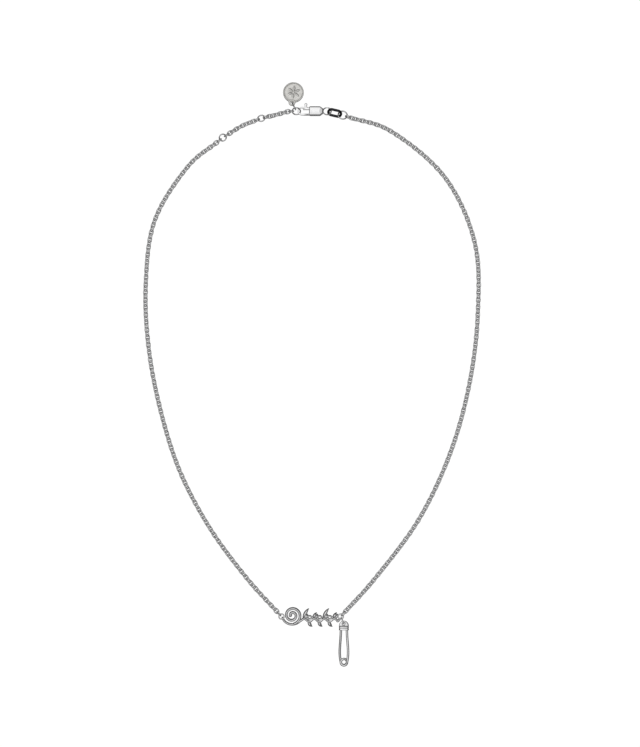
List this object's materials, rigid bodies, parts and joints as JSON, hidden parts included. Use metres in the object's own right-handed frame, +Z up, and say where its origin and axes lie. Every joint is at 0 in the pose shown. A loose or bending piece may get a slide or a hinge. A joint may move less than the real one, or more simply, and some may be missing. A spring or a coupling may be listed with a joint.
{
  "type": "nameplate necklace",
  "caption": "Fine cable chain necklace with an openwork scroll plate, a safety pin charm, a lobster clasp and a round tag, clasped and laid flat.",
  "frame": {"origin": "middle of the necklace's outline on the table that it lies on", "axes": "+X across the loop, +Y from the nameplate up to the clasp, +Z up from the table"},
  "size_m": [0.114, 0.1971, 0.0028],
  "materials": {
    "polished_silver": "polished silver, bright and smooth",
    "satin_silver": "satin grey silver with a fine tumbled grain",
    "dark_metal": "near-black polished metal"
  },
  "bodies": {
    "necklace": {"chain_right": "polished_silver", "chain_left": "polished_silver", "chain_outer": "polished_silver", "chain_inner": "polished_silver", "ring_end": "polished_silver", "ring_adjuster_inner": "polished_silver", "ring_adjuster_outer": "polished_silver", "ring_side": "polished_silver", "tag_disc": "satin_silver", "tag_link": "polished_silver", "clasp_body": "polished_silver", "oval_link": "dark_metal", "nameplate": "polished_silver", "pin_link": "polished_silver", "safety_pin_wire": "polished_silver", "safety_pin_cap": "polished_silver"},
    "lever": {"clasp_lever": "polished_silver"}
  },
  "joints": [
    {"name": "lever_hinge", "type": "hinge", "parent": "necklace", "child": "lever", "pos_m": [0.00025, 0.08932, 0.00115], "axis": [0, 0, 1], "range_deg": [0, 16], "stiffness_Nm_per_rad": 0.006, "springref_deg": -5.73}
  ]
}
